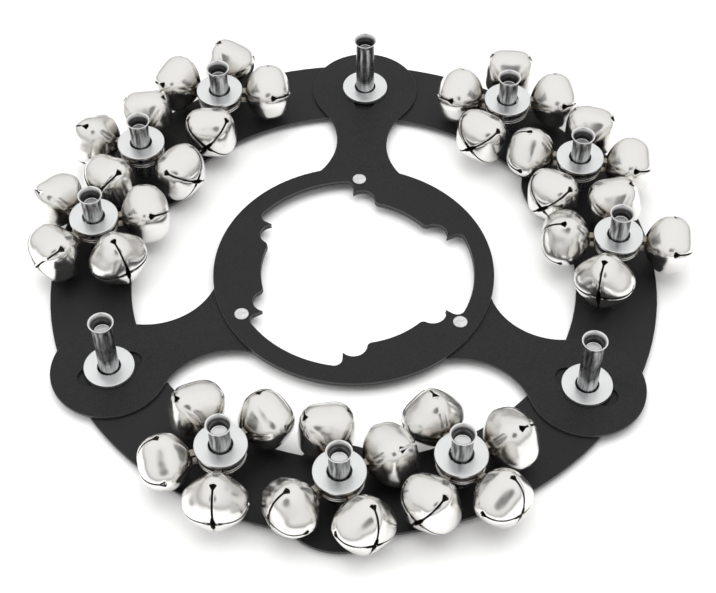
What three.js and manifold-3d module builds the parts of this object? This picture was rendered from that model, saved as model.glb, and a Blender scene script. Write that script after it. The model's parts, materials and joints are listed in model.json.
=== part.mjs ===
import * as THREE from "three";
import { mergeVertices } from "three/addons/utils/BufferGeometryUtils.js";
import Module from "manifold-3d";

// A jingle ring: a flat black ring with nine clusters of four small bells, and a loose centre plate
// with three arms. Millimetres, Z up. The origin is in the middle of the footprint, level with the
// rivet heads that the ring lies on.

// Base ring
const RIVET_CIRCLE_RADIUS = 85;
const RING_WIDTH = 26;
const RING_THICKNESS = 1.2;
const PAD_RADIUS = 18.5;
const GROUP_COUNT = 3;
const CLUSTER_SPACING_PAST_BELL = 16;
const FIRST_ARM_ANGLE = 90;

// Rivets staked in the ring, with a blind bore that is flared open at the top
const RIVET_RISE = 24;
const SHANK_RADIUS = 3.15;
const HEAD_RADIUS = 4.8;
const HEAD_THICKNESS = 1.5;
const FLARE_RADIUS = 4;
const FLARE_HEIGHT = 1.6;
const FLARE_LIP = 0.3;
const BORE_RADIUS = 2.3;
const BORE_DEPTH = 8.5;

// Centre plate: a spider with three lobes, and the disc riveted on its hub
const SPIDER_THICKNESS = 1;
const LOBE_RADIUS = 18.4;
const NECK_HALF_WIDTH = 8.6;
const NECK_FILLET_RADIUS = 22.6;
const HUB_RADIUS = 45.5;
const DISC_THICKNESS = 1;
const SLOT_HALF_LENGTH = 10.5;
const SLOT_CLEARANCE = 0.45;
const HUB_BAND_WIDTH = 15.5;
const WINDOW_RIM_WIDTH = 6.5;
const WINDOW_START = 3;
const WINDOW_END = 57;
const WINDOW_CORNER_RADIUS = 2.5;
const SCALLOP_RADIUS = 4.2;
const SCALLOP_DEPTH = 4.9;
const SCALLOP_FILLET_RADIUS = 2;
const TONGUE_SETBACK = 3.5;
const HUB_RIVET_INSET = 5.5;
const HUB_RIVET_RADIUS = 2.3;
const HUB_RIVET_RISE = 0.4;
const HUB_RIVET_SHANK = 1.5;

// Washers
const WASHER_RADIUS = 7.9;
const WASHER_CLEARANCE = 0.45;
const CLUSTER_WASHER_THICKNESS = 1.2;
const LOBE_WASHER_THICKNESS = 1.4;

// Split rings: two flat turns of wire, joined by a short ramp
const RING_WIRE_WIDTH = 0.9;
const RING_WIRE_HEIGHT = 0.5;
const RING_TURN_GAP = 0.42;
const RING_BEYOND_EAR_CENTRE = 0.5;
const RING_RAMP_ANGLE = 40;

// Bells: four petals closed round a pellet, with a strap ear on the back
const BELL_RADIUS = 9.8;
const BELL_FRONT = 8.7;
const BELL_BACK = 7.3;
const BELL_WALL = 0.6;
const BELL_GAP = 0.45;
const EAR_OPENING_RADIUS = 1.95;
const EAR_STRAP = 0.45;
const EAR_WIDTH = 2.2;
const EAR_LET_IN = 0.2;
const EAR_PAST_FLARE = 0.1;
const PELLET_RADIUS = 2.2;
const PELLET_SEAT = 0.2;
const SLIT_HALF_WIDTH = 0.35;
const KEYHOLE_START = 1.2;
const KEYHOLE_LENGTH = 2;
const KEYHOLE_HALF_WIDTH = 1;
const KEYHOLE_WIDEST = 0.6;
const STAR_POINT_RADIUS = 3;
const PETAL_TIP_RADIUS = 1.1;

// Running clearance between pieces that lie on one another
const CLEARANCE = 0.3;

// How each bell lies: its heading round its own rivet, from the middle direction of its group of
// three clusters, and its roll about its own axis. Degrees; groups and clusters run counter-clockwise.
const BELL_LAY = [
  [{ headings: [-65, 10, -139, 115], rolls: [70, 35, 60, 50] },
    { headings: [15, -60, 176, 89], rolls: [70, 40, 50, 55] },
    { headings: [-5, -132, 79, 154], rolls: [55, 50, 50, 5] }],
  [{ headings: [-149, 133, -75, 0], rolls: [55, 65, 15, 0] },
    { headings: [-162, 121, -52, 27], rolls: [50, 30, 0, 75] },
    { headings: [-149, 120, -30, 45], rolls: [5, 20, 60, 75] }],
  [{ headings: [60, 146, -32, -137], rolls: [30, 75, 60, 5] },
    { headings: [46, 133, -31, -152], rolls: [45, 0, 55, 50] },
    { headings: [56, 134, -19, -149], rolls: [45, 30, 60, 45] }],
];

// Facets: the longest side of a facet on a plate's edge, and the sides of small round pieces
const EDGE_FACET = 8;
const COARSEST_TURN = 45;
const RIVET_SIDES = 8;
const WASHER_SIDES = 12;
const EAR_TURN = 45;
const SPLIT_RING_STEPS = 9;
const STRIP_SAMPLES = 4;
const PETAL_SIDES = 2;
const SHELL_BACK_LATITUDES = [-90, -52, -20];
const LINING_BACK_LATITUDES = [-90, -35];

// Steps of the search that keeps the bells of a group apart, in radians
const SETTLE_SWEEPS = 300;
const SETTLE_NUDGE = 0.002;
const OUTLINE_SPREAD = 1;
const OUTLINE_STEP = 0.05;

const rad = THREE.MathUtils.degToRad;
const polar = (radius, degrees) =>
  new THREE.Vector2(radius * Math.cos(rad(degrees)), radius * Math.sin(rad(degrees)));

// Levels and places that follow from the sizes above
const RING_TOP = HEAD_THICKNESS + RING_THICKNESS;
const SPIDER_TOP = RING_TOP + SPIDER_THICKNESS;
const DISC_TOP = SPIDER_TOP + DISC_THICKNESS;
const MOUTH = RING_TOP + RIVET_RISE;
const CLUSTER_SPACING = 2 * BELL_RADIUS + CLUSTER_SPACING_PAST_BELL;
const HUB_BORE_RADIUS = HUB_RADIUS - HUB_BAND_WIDTH;
const TONGUE_RADIUS = HUB_BORE_RADIUS + TONGUE_SETBACK;
const WINDOW_OUTER_RADIUS = HUB_RADIUS - WINDOW_RIM_WIDTH;
const HUB_RIVET_CIRCLE = HUB_RADIUS - HUB_RIVET_INSET;
const WASHER_HOLE_RADIUS = SHANK_RADIUS + WASHER_CLEARANCE;
const EAR_RADIUS = EAR_OPENING_RADIUS + EAR_STRAP;
const EAR_REACH = FLARE_RADIUS + EAR_PAST_FLARE + EAR_RADIUS;
const EAR_LEVEL = RING_TOP + CLEARANCE + BELL_RADIUS;
const BELL_OFFSET = EAR_OPENING_RADIUS + BELL_BACK;
const CLUSTER_WASHER_BOTTOM = EAR_LEVEL + EAR_RADIUS + CLEARANCE;
const SPLIT_RING_RADIUS = EAR_REACH + RING_BEYOND_EAR_CENTRE;
const SPLIT_RING_BOTTOM = EAR_LEVEL - Math.sqrt(
  (EAR_OPENING_RADIUS * Math.cos(rad(EAR_TURN / 2)) - CLEARANCE) ** 2 -
  (RING_BEYOND_EAR_CENTRE + RING_WIRE_WIDTH / 2) ** 2,
);

const wasm = await Module();
wasm.setup();

// A closed geometry as a solid that can be joined and cut.
function solid(geometry) {
  const bare = geometry.clone();
  bare.deleteAttribute("normal");
  bare.deleteAttribute("uv");
  const merged = mergeVertices(bare, 1e-4);
  return new wasm.Manifold(new wasm.Mesh({
    numProp: 3,
    vertProperties: merged.attributes.position.array,
    triVerts: new Uint32Array(merged.index.array),
  }));
}

// The other way round: a solid as a geometry with flat facets.
function geometryOf(manifold) {
  const { vertProperties, triVerts } = manifold.getMesh();
  const indexed = new THREE.BufferGeometry();
  indexed.setAttribute("position", new THREE.BufferAttribute(vertProperties, 3));
  indexed.setIndex(new THREE.BufferAttribute(triVerts, 1));
  const geometry = indexed.toNonIndexed();
  geometry.computeVertexNormals();
  return geometry;
}

// Points along an arc about a centre, from one angle to another in degrees.
function arc(centre, radius, from, to) {
  const coarsest = Math.min(COARSEST_TURN, THREE.MathUtils.radToDeg(EDGE_FACET / radius));
  const steps = Math.max(1, Math.ceil(Math.abs(to - from) / coarsest));
  const points = [];
  for (let i = 0; i <= steps; i++) {
    points.push(polar(radius, from + ((to - from) * i) / steps).add(centre));
  }
  return points;
}

const circle = (centre, radius) => arc(centre, radius, 0, 360).slice(0, -1);
const bearing = (from, to) => THREE.MathUtils.radToDeg(Math.atan2(to.y - from.y, to.x - from.x));

// A flat plate from an outline and its holes, standing on the given level.
function plate(outline, holes, bottom, thickness) {
  const shape = new THREE.Shape(outline);
  shape.holes = holes.map((hole) => new THREE.Path(hole));
  const geometry = new THREE.ExtrudeGeometry(shape, { depth: thickness, bevelEnabled: false });
  return geometry.translate(0, 0, bottom);
}

// A turned piece about the Z axis, from points of radius and height.
function turned(profile, sides) {
  const points = profile.map(([radius, height]) => new THREE.Vector2(radius, height));
  return new THREE.LatheGeometry(points, sides).rotateX(Math.PI / 2);
}

// A square-edged ring about the Z axis.
function flatRing(inner, outer, bottom, thickness, sides) {
  const top = bottom + thickness;
  return turned([[inner, bottom], [outer, bottom], [outer, top], [inner, top], [inner, bottom]], sides);
}

const groupAngle = (group) => FIRST_ARM_ANGLE + ((group + 0.5) * 360) / GROUP_COUNT;
const armAngle = (arm) => FIRST_ARM_ANGLE + (arm * 360) / GROUP_COUNT;
const clusterStep = 2 * THREE.MathUtils.radToDeg(
  Math.asin(CLUSTER_SPACING / 2 / RIVET_CIRCLE_RADIUS),
);

// Clusters in order: within a group, from the clockwise end round to the other.
const clusters = BELL_LAY.flatMap((lays, group) => lays.map((lay, place) => {
  const angle = groupAngle(group) + (place - (lays.length - 1) / 2) * clusterStep;
  return { group, post: polar(RIVET_CIRCLE_RADIUS, angle), ...lay };
}));

// Rivet with a head under the ring, and a tubular end flared over the washers.
function rivet(place) {
  const profile = [
    [0, 0],
    [HEAD_RADIUS, 0],
    [HEAD_RADIUS, HEAD_THICKNESS],
    [SHANK_RADIUS, HEAD_THICKNESS],
    [SHANK_RADIUS, MOUTH - FLARE_HEIGHT],
    [FLARE_RADIUS, MOUTH],
    [FLARE_RADIUS - FLARE_LIP, MOUTH],
    [BORE_RADIUS, MOUTH - FLARE_HEIGHT],
    [BORE_RADIUS, MOUTH - BORE_DEPTH],
    [0, MOUTH - BORE_DEPTH],
  ];
  return turned(profile, RIVET_SIDES).translate(place.x, place.y, 0);
}

// Base ring: an annulus with a round pad under each group's middle cluster, and the twelve rivets in it.
function baseRing() {
  const centre = new THREE.Vector2();
  const outer = circle(centre, RIVET_CIRCLE_RADIUS + RING_WIDTH / 2);
  const inner = circle(centre, RIVET_CIRCLE_RADIUS - RING_WIDTH / 2);
  let body = solid(plate(outer, [inner], HEAD_THICKNESS, RING_THICKNESS));
  for (let group = 0; group < GROUP_COUNT; group++) {
    const pad = circle(polar(RIVET_CIRCLE_RADIUS, groupAngle(group)), PAD_RADIUS);
    body = body.add(solid(plate(pad, [], HEAD_THICKNESS, RING_THICKNESS)));
    body = body.add(solid(rivet(polar(RIVET_CIRCLE_RADIUS, armAngle(group)))));
  }
  for (const cluster of clusters) {
    body = body.add(solid(rivet(cluster.post)));
  }
  return geometryOf(body);
}

// Angle at a corner between two sides of a triangle, from their lengths and the third side's.
const cornerAngle = (a, b, opposite) =>
  THREE.MathUtils.radToDeg(Math.acos((a ** 2 + b ** 2 - opposite ** 2) / (2 * a * b)));

// Scallop in the hub's bore beside the straight wall of a window, on the side given by +1 or -1. It
// runs from the point of the tongue that it leaves against the window, to a fillet into the bore.
function scallop(wall, side) {
  const scallopCentre = HUB_BORE_RADIUS + SCALLOP_DEPTH - SCALLOP_RADIUS;
  const filletCentre = HUB_BORE_RADIUS + SCALLOP_FILLET_RADIUS;
  const middle = wall + side * cornerAngle(scallopCentre, TONGUE_RADIUS, SCALLOP_RADIUS);
  const runOut = middle +
    side * cornerAngle(scallopCentre, filletCentre, SCALLOP_RADIUS + SCALLOP_FILLET_RADIUS);
  const hollow = polar(scallopCentre, middle);
  const fillet = polar(filletCentre, runOut);
  const start = bearing(hollow, polar(TONGUE_RADIUS, wall));
  const sweep = side * THREE.MathUtils.euclideanModulo(side * (bearing(hollow, fillet) - start), 360);
  const back = bearing(fillet, hollow);
  const turn = -side * THREE.MathUtils.euclideanModulo(side * (back - runOut - 180), 360);
  return [
    ...arc(hollow, SCALLOP_RADIUS, start, start + sweep),
    ...arc(fillet, SCALLOP_FILLET_RADIUS, back, back + turn).slice(1),
  ];
}

// The hub's opening: a bore, with a window and the scallops on both sides of it for each arm.
function hubOpening() {
  const points = [];
  const hub = new THREE.Vector2();
  const corner = WINDOW_OUTER_RADIUS - WINDOW_CORNER_RADIUS;
  const inset = THREE.MathUtils.radToDeg(Math.asin(WINDOW_CORNER_RADIUS / corner));
  for (let arm = 0; arm < GROUP_COUNT; arm++) {
    const start = armAngle(arm) + WINDOW_START;
    const end = armAngle(arm) + WINDOW_END;
    points.push(...arc(polar(corner, start + inset), WINDOW_CORNER_RADIUS, start - 90, start + inset));
    points.push(...arc(hub, WINDOW_OUTER_RADIUS, start + inset, end - inset).slice(1, -1));
    points.push(...arc(polar(corner, end - inset), WINDOW_CORNER_RADIUS, end - inset, end + 90));
    const leaving = scallop(end, 1);
    const arriving = scallop(armAngle(arm + 1) + WINDOW_START, -1).reverse();
    const boreStart = bearing(hub, leaving.at(-1));
    const boreSweep = THREE.MathUtils.euclideanModulo(bearing(hub, arriving[0]) - boreStart, 360);
    points.push(...leaving);
    points.push(...arc(hub, HUB_BORE_RADIUS, boreStart, boreStart + boreSweep).slice(1, -1));
    points.push(...arriving);
  }
  return points;
}

// Spider: a hub, and for each arm a neck between two hollow curves that ends in a round lobe.
function spiderOutline() {
  const points = [];
  const hub = new THREE.Vector2();
  const across = NECK_HALF_WIDTH + NECK_FILLET_RADIUS;
  const away = LOBE_RADIUS + NECK_FILLET_RADIUS;
  const along = RIVET_CIRCLE_RADIUS - Math.sqrt(away ** 2 - across ** 2);
  const filletDistance = Math.hypot(across, along);
  // Where the hollow curve runs into the hub's edge, as angles at the two centres.
  const cosHub = (HUB_RADIUS ** 2 + filletDistance ** 2 - NECK_FILLET_RADIUS ** 2) /
    (2 * HUB_RADIUS * filletDistance);
  const sideways = THREE.MathUtils.radToDeg(Math.atan2(across, along));
  const meets = sideways - THREE.MathUtils.radToDeg(Math.acos(Math.min(1, cosHub)));
  for (let arm = 0; arm < GROUP_COUNT; arm++) {
    const angle = armAngle(arm);
    const lobe = polar(RIVET_CIRCLE_RADIUS, angle);
    const right = polar(filletDistance, angle - sideways);
    const left = polar(filletDistance, angle + sideways);
    const fromHub = bearing(right, polar(HUB_RADIUS, angle - meets));
    const toLobe = bearing(right, lobe);
    const turn = THREE.MathUtils.euclideanModulo(fromHub - toLobe, 360);
    points.push(...arc(right, NECK_FILLET_RADIUS, toLobe + turn, toLobe));
    const start = toLobe - 180;
    const sweep = THREE.MathUtils.euclideanModulo(bearing(lobe, left) - start, 360);
    points.push(...arc(lobe, LOBE_RADIUS, start, start + sweep).slice(1, -1));
    const leftStart = bearing(left, lobe);
    points.push(...arc(left, NECK_FILLET_RADIUS, leftStart, leftStart - turn));
    points.push(...arc(hub, HUB_RADIUS, angle + meets, armAngle(arm + 1) - meets).slice(1, -1));
  }
  return points;
}

// Slot in a lobe, along the arm, that the tall rivet stands in.
function lobeSlot(angle) {
  const radius = SHANK_RADIUS + SLOT_CLEARANCE;
  const reach = SLOT_HALF_LENGTH - radius;
  const outer = polar(RIVET_CIRCLE_RADIUS + reach, angle);
  const inner = polar(RIVET_CIRCLE_RADIUS - reach, angle);
  return [...arc(outer, radius, angle - 90, angle + 90), ...arc(inner, radius, angle + 90, angle + 270)];
}

function spider() {
  const holes = [hubOpening()];
  for (let arm = 0; arm < GROUP_COUNT; arm++) {
    holes.push(lobeSlot(armAngle(arm)));
    holes.push(circle(polar(HUB_RIVET_CIRCLE, armAngle(arm)), HUB_RIVET_SHANK + CLEARANCE));
  }
  return plate(spiderOutline(), holes, RING_TOP, SPIDER_THICKNESS);
}

// Hub disc with its three rivets, whose tails are set under the spider.
function hubDisc() {
  const edge = circle(new THREE.Vector2(), HUB_RADIUS);
  let body = solid(plate(edge, [hubOpening()], SPIDER_TOP, DISC_THICKNESS));
  const tail = RING_TOP - HUB_RIVET_RISE;
  const head = DISC_TOP + HUB_RIVET_RISE;
  for (let arm = 0; arm < GROUP_COUNT; arm++) {
    const place = polar(HUB_RIVET_CIRCLE, armAngle(arm));
    const profile = [
      [0, tail],
      [HUB_RIVET_RADIUS, tail],
      [HUB_RIVET_RADIUS, RING_TOP],
      [HUB_RIVET_SHANK, RING_TOP],
      [HUB_RIVET_SHANK, DISC_TOP],
      [HUB_RIVET_RADIUS, DISC_TOP],
      [HUB_RIVET_RADIUS, head],
      [0, head],
    ];
    body = body.add(solid(turned(profile, RIVET_SIDES).translate(place.x, place.y, 0)));
  }
  return geometryOf(body);
}

// Adds triangles between two rows of points that run the same way, stepping along both.
// Seen from outside, the second row lies counter-clockwise of the first.
function band(faces, first, second) {
  let i = 0;
  let j = 0;
  while (i < first.length - 1 || j < second.length - 1) {
    const nextFirst = (i + 1) / (first.length - 1);
    const nextSecond = (j + 1) / (second.length - 1);
    const corner = nextFirst <= nextSecond ? first[i + 1] : second[j + 1];
    if (!first[i].equals(second[j])) {
      faces.push(first[i], second[j], corner);
    }
    if (nextFirst <= nextSecond) i += 1;
    else j += 1;
  }
}

// Least distance of a strip of wire to itself, measured on points along its four edges. Points less
// than half a turn apart along the wire are neighbours, and don't count.
function leastGapToItself(sections) {
  const rows = [];
  for (let i = 0; i < sections.length - 1; i++) {
    for (let step = 0; step < STRIP_SAMPLES; step++) {
      const corners = sections[i].map((corner, side) =>
        corner.clone().lerp(sections[i + 1][side], step / STRIP_SAMPLES));
      rows.push(corners);
    }
  }
  const halfTurn = Math.round((SPLIT_RING_STEPS * STRIP_SAMPLES) / 2);
  let least = Infinity;
  for (let i = 0; i < rows.length; i++) {
    for (let j = i + halfTurn; j < rows.length; j++) {
      for (const a of rows[i]) {
        least = Math.min(least, ...rows[j].map((b) => a.distanceTo(b)));
      }
    }
  }
  return least;
}

let leastRingGap = Infinity;

// Split ring about the Z axis: one strip of flat wire that makes two level turns.
function splitRing() {
  const inner = SPLIT_RING_RADIUS - RING_WIRE_WIDTH / 2;
  const outer = SPLIT_RING_RADIUS + RING_WIRE_WIDTH / 2;
  const level = (360 - RING_RAMP_ANGLE) / SPLIT_RING_STEPS;
  const section = (angle, bottom) => {
    const top = bottom + RING_WIRE_HEIGHT;
    return [[outer, bottom], [outer, top], [inner, top], [inner, bottom]].map(([radius, height]) => {
      const place = polar(radius, angle);
      return new THREE.Vector3(place.x, place.y, height);
    });
  };
  const sections = [];
  for (let turn = 0; turn < 2; turn++) {
    const bottom = SPLIT_RING_BOTTOM + turn * (RING_WIRE_HEIGHT + RING_TURN_GAP);
    for (let i = 0; i <= SPLIT_RING_STEPS; i++) {
      sections.push(section(RING_RAMP_ANGLE + i * level, bottom));
    }
  }
  leastRingGap = leastGapToItself(sections);
  const faces = [];
  for (let side = 0; side < 4; side++) {
    const next = (side + 1) % 4;
    band(faces, sections.map((corners) => corners[next]), sections.map((corners) => corners[side]));
  }
  const start = sections[0];
  const end = sections[sections.length - 1];
  faces.push(start[0], start[1], start[2], start[0], start[2], start[3]);
  faces.push(end[2], end[1], end[0], end[3], end[2], end[0]);
  return new THREE.BufferGeometry().setFromPoints(faces);
}

// A bell's own frame has the ear's centre at the origin and the pole of the petals along +X.
// Latitude runs from -90 degrees at the back to 90 at the pole; inset is the depth into the wall.
function bellPoint(latitude, angle, inset) {
  const depth = (latitude < 0 ? BELL_BACK : BELL_FRONT) - inset;
  const radius = bellRadius(latitude, inset);
  return new THREE.Vector3(
    BELL_OFFSET + depth * Math.sin(rad(latitude)),
    radius * Math.cos(rad(angle)),
    radius * Math.sin(rad(angle)),
  );
}

function bellRadius(latitude, inset) {
  return (BELL_RADIUS - inset) * Math.cos(rad(latitude));
}

const latitudeAhead = (distance) => THREE.MathUtils.radToDeg(Math.asin(distance / BELL_FRONT));
const latitudeAtRadius = (radius) => THREE.MathUtils.radToDeg(Math.acos(radius / BELL_RADIUS));

// Shell of a bell: a closed back, and four petals that stand apart by a slit with a keyhole at its
// foot and leave a four-pointed star open at the pole.
function bellShell() {
  const foot = latitudeAhead(KEYHOLE_START);
  const widest = latitudeAhead(KEYHOLE_START + KEYHOLE_LENGTH * KEYHOLE_WIDEST);
  const neck = latitudeAhead(KEYHOLE_START + KEYHOLE_LENGTH);
  const star = latitudeAtRadius(STAR_POINT_RADIUS);
  const tip = latitudeAtRadius(PETAL_TIP_RADIUS);
  const slit = [[foot, 0], [widest, KEYHOLE_HALF_WIDTH], [neck, SLIT_HALF_WIDTH]];
  const slitOutside = [...slit, [(neck + star) / 2, SLIT_HALF_WIDTH], [star, SLIT_HALF_WIDTH]];
  const slitInside = [...slit, [star, SLIT_HALF_WIDTH]];
  const middleOutside = [foot, foot + (tip - foot) / 3, foot + ((tip - foot) * 2) / 3, tip];
  const middleInside = [foot, (foot + tip) / 2, tip];
  const backOutside = [...SHELL_BACK_LATITUDES, foot];
  const backInside = [...LINING_BACK_LATITUDES, foot];

  // Edge of a slit that lies at an angle, on the side given by +1 or -1.
  const edge = (stations, angle, side, inset) => stations.map(([latitude, halfWidth]) => {
    const turn = THREE.MathUtils.radToDeg(Math.asin(halfWidth / bellRadius(latitude, inset)));
    return bellPoint(latitude, angle + side * turn, inset);
  });
  const column = (latitudes, angle, inset) => latitudes.map((latitude) => bellPoint(latitude, angle, inset));

  const faces = [];
  for (let petal = 0; petal < 4; petal++) {
    const from = petal * 90;
    const middle = from + 90 / PETAL_SIDES;
    const to = from + 90;
    band(faces, column(backOutside, from, 0), column(backOutside, middle, 0));
    band(faces, column(backOutside, middle, 0), column(backOutside, to, 0));
    band(faces, column(backInside, middle, BELL_WALL), column(backInside, from, BELL_WALL));
    band(faces, column(backInside, to, BELL_WALL), column(backInside, middle, BELL_WALL));

    const outside = {
      from: edge(slitOutside, from, 1, 0),
      middle: column(middleOutside, middle, 0),
      to: edge(slitOutside, to, -1, 0),
    };
    const inside = {
      from: edge(slitInside, from, 1, BELL_WALL),
      middle: column(middleInside, middle, BELL_WALL),
      to: edge(slitInside, to, -1, BELL_WALL),
    };
    band(faces, outside.from, outside.middle);
    band(faces, outside.middle, outside.to);
    band(faces, inside.middle, inside.from);
    band(faces, inside.to, inside.middle);
    band(faces, inside.from, outside.from);
    band(faces, outside.to, inside.to);
    const rim = (skin) => [skin.from.at(-1), skin.middle.at(-1), skin.to.at(-1)];
    band(faces, rim(inside), rim(outside));
  }
  return new THREE.BufferGeometry().setFromPoints(faces);
}

// Ear: a strap bent round the split ring, with both legs let into the back of the shell.
function bellEar() {
  const bow = (radius) => {
    const points = [];
    for (let angle = 90; angle <= 270; angle += EAR_TURN) {
      points.push(polar(radius, angle));
    }
    return points;
  };
  const legRise = 1 - Math.sqrt(1 - (EAR_RADIUS / BELL_RADIUS) ** 2);
  const legEnd = EAR_OPENING_RADIUS + BELL_BACK * legRise + BELL_WALL + EAR_LET_IN;
  const outline = [
    ...bow(EAR_RADIUS),
    new THREE.Vector2(legEnd, -EAR_RADIUS),
    new THREE.Vector2(legEnd, -EAR_OPENING_RADIUS),
    ...bow(EAR_OPENING_RADIUS).reverse(),
    new THREE.Vector2(legEnd, EAR_OPENING_RADIUS),
    new THREE.Vector2(legEnd, EAR_RADIUS),
  ];
  const geometry = new THREE.ExtrudeGeometry(new THREE.Shape(outline), {
    depth: EAR_WIDTH,
    bevelEnabled: false,
  });
  return geometry.translate(0, 0, -EAR_WIDTH / 2).rotateX(Math.PI / 2);
}

// Pellet, at rest on the lowest part of the shell's inside.
function bellPellet(roll) {
  const side = 90 / PETAL_SIDES;
  const offFacet = Math.abs(THREE.MathUtils.euclideanModulo(roll, side) - side / 2);
  const floor = (BELL_RADIUS - BELL_WALL) * Math.cos(rad(side / 2)) / Math.cos(rad(offFacet));
  const pellet = new THREE.OctahedronGeometry(PELLET_RADIUS);
  const behind = BELL_OFFSET + KEYHOLE_START - PELLET_RADIUS;
  return pellet.translate(behind, 0, PELLET_RADIUS - PELLET_SEAT - floor);
}

const shell = solid(bellShell());
const ear = solid(bellEar());

function bell(roll) {
  const rolled = shell.rotate([roll, 0, 0]);
  return geometryOf(rolled.add(ear).add(solid(bellPellet(roll))));
}

// How far a bell's plan outline reaches from its centre in a direction, both in radians.
function outlineReach(direction, heading) {
  const along = Math.cos(direction - heading);
  const across = Math.sin(direction - heading);
  return Math.hypot(across * BELL_RADIUS, along * (along > 0 ? BELL_FRONT : BELL_BACK));
}

function bellCentre(lay) {
  const distance = EAR_REACH + BELL_OFFSET;
  return new THREE.Vector2(distance * Math.cos(lay.heading), distance * Math.sin(lay.heading)).add(lay.post);
}

// Least distance between two bells' plan outlines, or minus the depth of their overlap.
function gapBetween(a, b) {
  const apart = bellCentre(b).sub(bellCentre(a));
  const middle = apart.angle();
  let gap = -Infinity;
  for (let turn = -OUTLINE_SPREAD; turn <= OUTLINE_SPREAD; turn += OUTLINE_STEP) {
    const direction = middle + turn;
    const along = apart.x * Math.cos(direction) + apart.y * Math.sin(direction);
    const room = along - outlineReach(direction, a.heading) - outlineReach(direction + Math.PI, b.heading);
    gap = Math.max(gap, room);
  }
  return gap;
}

// Turns the bells of one group round their rivets, as they would shuffle, until each clears the rest.
function settle(bells) {
  const nudge = SETTLE_NUDGE;
  for (let sweep = 0; sweep < SETTLE_SWEEPS; sweep++) {
    let crowded = false;
    for (const [i, a] of bells.entries()) {
      for (const b of bells.slice(i + 1)) {
        const gap = gapBetween(a, b);
        if (gap >= BELL_GAP) continue;
        crowded = true;
        const gainA = (gapBetween({ ...a, heading: a.heading + nudge }, b) - gap) / nudge;
        const gainB = (gapBetween(a, { ...b, heading: b.heading + nudge }) - gap) / nudge;
        const step = Math.min((BELL_GAP - gap) / (gainA ** 2 + gainB ** 2), nudge);
        a.heading += step * gainA;
        b.heading += step * gainB;
      }
    }
    if (!crowded) return;
  }
}

const blackSteel = () => new THREE.MeshStandardMaterial({ color: 0x1b1b1d, roughness: 0.45, metalness: 0.4 });
const zincPlate = () => new THREE.MeshStandardMaterial({ color: 0xb4b6b8, roughness: 0.35, metalness: 0.9 });
const nickelPlate = () => new THREE.MeshStandardMaterial({ color: 0xd6d2ca, roughness: 0.18, metalness: 1 });

function addPiece(parent, name, geometry, material) {
  const mesh = new THREE.Mesh(geometry, material);
  mesh.name = name;
  parent.add(mesh);
  return mesh;
}

const jingleRing = new THREE.Group();
addPiece(jingleRing, "base_ring", baseRing(), blackSteel());
addPiece(jingleRing, "spider", spider(), blackSteel());
addPiece(jingleRing, "hub_disc", hubDisc(), blackSteel());
for (let arm = 0; arm < GROUP_COUNT; arm++) {
  const place = polar(RIVET_CIRCLE_RADIUS, armAngle(arm));
  const washer = flatRing(WASHER_HOLE_RADIUS, WASHER_RADIUS, SPIDER_TOP, LOBE_WASHER_THICKNESS, WASHER_SIDES);
  addPiece(jingleRing, `lobe_washer_${arm + 1}`, washer.translate(place.x, place.y, 0), zincPlate());
}

const bellsOf = clusters.map((cluster) => cluster.headings.map((heading) => (
  { post: cluster.post, heading: rad(groupAngle(cluster.group) + heading) }
)));
for (let group = 0; group < GROUP_COUNT; group++) {
  settle(bellsOf.filter((_, index) => clusters[index].group === group).flat());
}

for (const [index, cluster] of clusters.entries()) {
  const assembly = new THREE.Group();
  assembly.position.set(cluster.post.x, cluster.post.y, 0);
  jingleRing.add(assembly);
  addPiece(assembly, `split_ring_${index + 1}`, splitRing(), nickelPlate());
  const washer = flatRing(
    WASHER_HOLE_RADIUS,
    WASHER_RADIUS,
    CLUSTER_WASHER_BOTTOM,
    CLUSTER_WASHER_THICKNESS,
    WASHER_SIDES,
  );
  addPiece(assembly, `cluster_washer_${index + 1}`, washer, zincPlate());
  for (const [place, { heading }] of bellsOf[index].entries()) {
    const mesh = addPiece(
      assembly,
      `bell_${index + 1}_${place + 1}`,
      bell(cluster.rolls[place]),
      nickelPlate(),
    );
    mesh.position.set(EAR_REACH * Math.cos(heading), EAR_REACH * Math.sin(heading), EAR_LEVEL);
    mesh.rotation.z = heading;
  }
}

console.log(`least gap of a split ring to itself: ${leastRingGap.toFixed(2)} mm`);

const footprint = new THREE.Box3().setFromObject(jingleRing, true).getCenter(new THREE.Vector3());
jingleRing.position.set(-footprint.x, -footprint.y, 0);

export default jingleRing;
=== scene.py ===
import json
import math
import bmesh
import bpy
from mathutils import Matrix, Vector


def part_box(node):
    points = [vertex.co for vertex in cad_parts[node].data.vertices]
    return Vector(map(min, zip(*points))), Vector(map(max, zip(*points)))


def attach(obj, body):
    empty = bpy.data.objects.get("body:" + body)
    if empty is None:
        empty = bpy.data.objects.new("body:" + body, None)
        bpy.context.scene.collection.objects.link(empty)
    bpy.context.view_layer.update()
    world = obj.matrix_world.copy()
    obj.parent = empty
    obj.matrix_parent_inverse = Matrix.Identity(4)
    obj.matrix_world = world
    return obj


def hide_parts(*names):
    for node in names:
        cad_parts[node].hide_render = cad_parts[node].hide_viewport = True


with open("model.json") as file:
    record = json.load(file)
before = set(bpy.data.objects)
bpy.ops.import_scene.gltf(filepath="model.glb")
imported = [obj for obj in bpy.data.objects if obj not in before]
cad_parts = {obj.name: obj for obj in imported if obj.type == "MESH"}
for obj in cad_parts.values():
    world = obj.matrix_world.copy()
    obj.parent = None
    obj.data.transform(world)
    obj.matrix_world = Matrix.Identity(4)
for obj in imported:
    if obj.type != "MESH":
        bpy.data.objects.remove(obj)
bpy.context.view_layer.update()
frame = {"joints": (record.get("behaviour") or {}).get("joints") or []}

# Where the photograph was taken from: a long lens, about half a metre from the ring, looking down on
# it from the front at some fifty degrees. The ring lies on a plain white table under large soft
# lights, so its plated pieces mirror a bright room with darker walls.
MM = 0.001
hub_low, hub_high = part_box("hub_disc")
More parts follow.
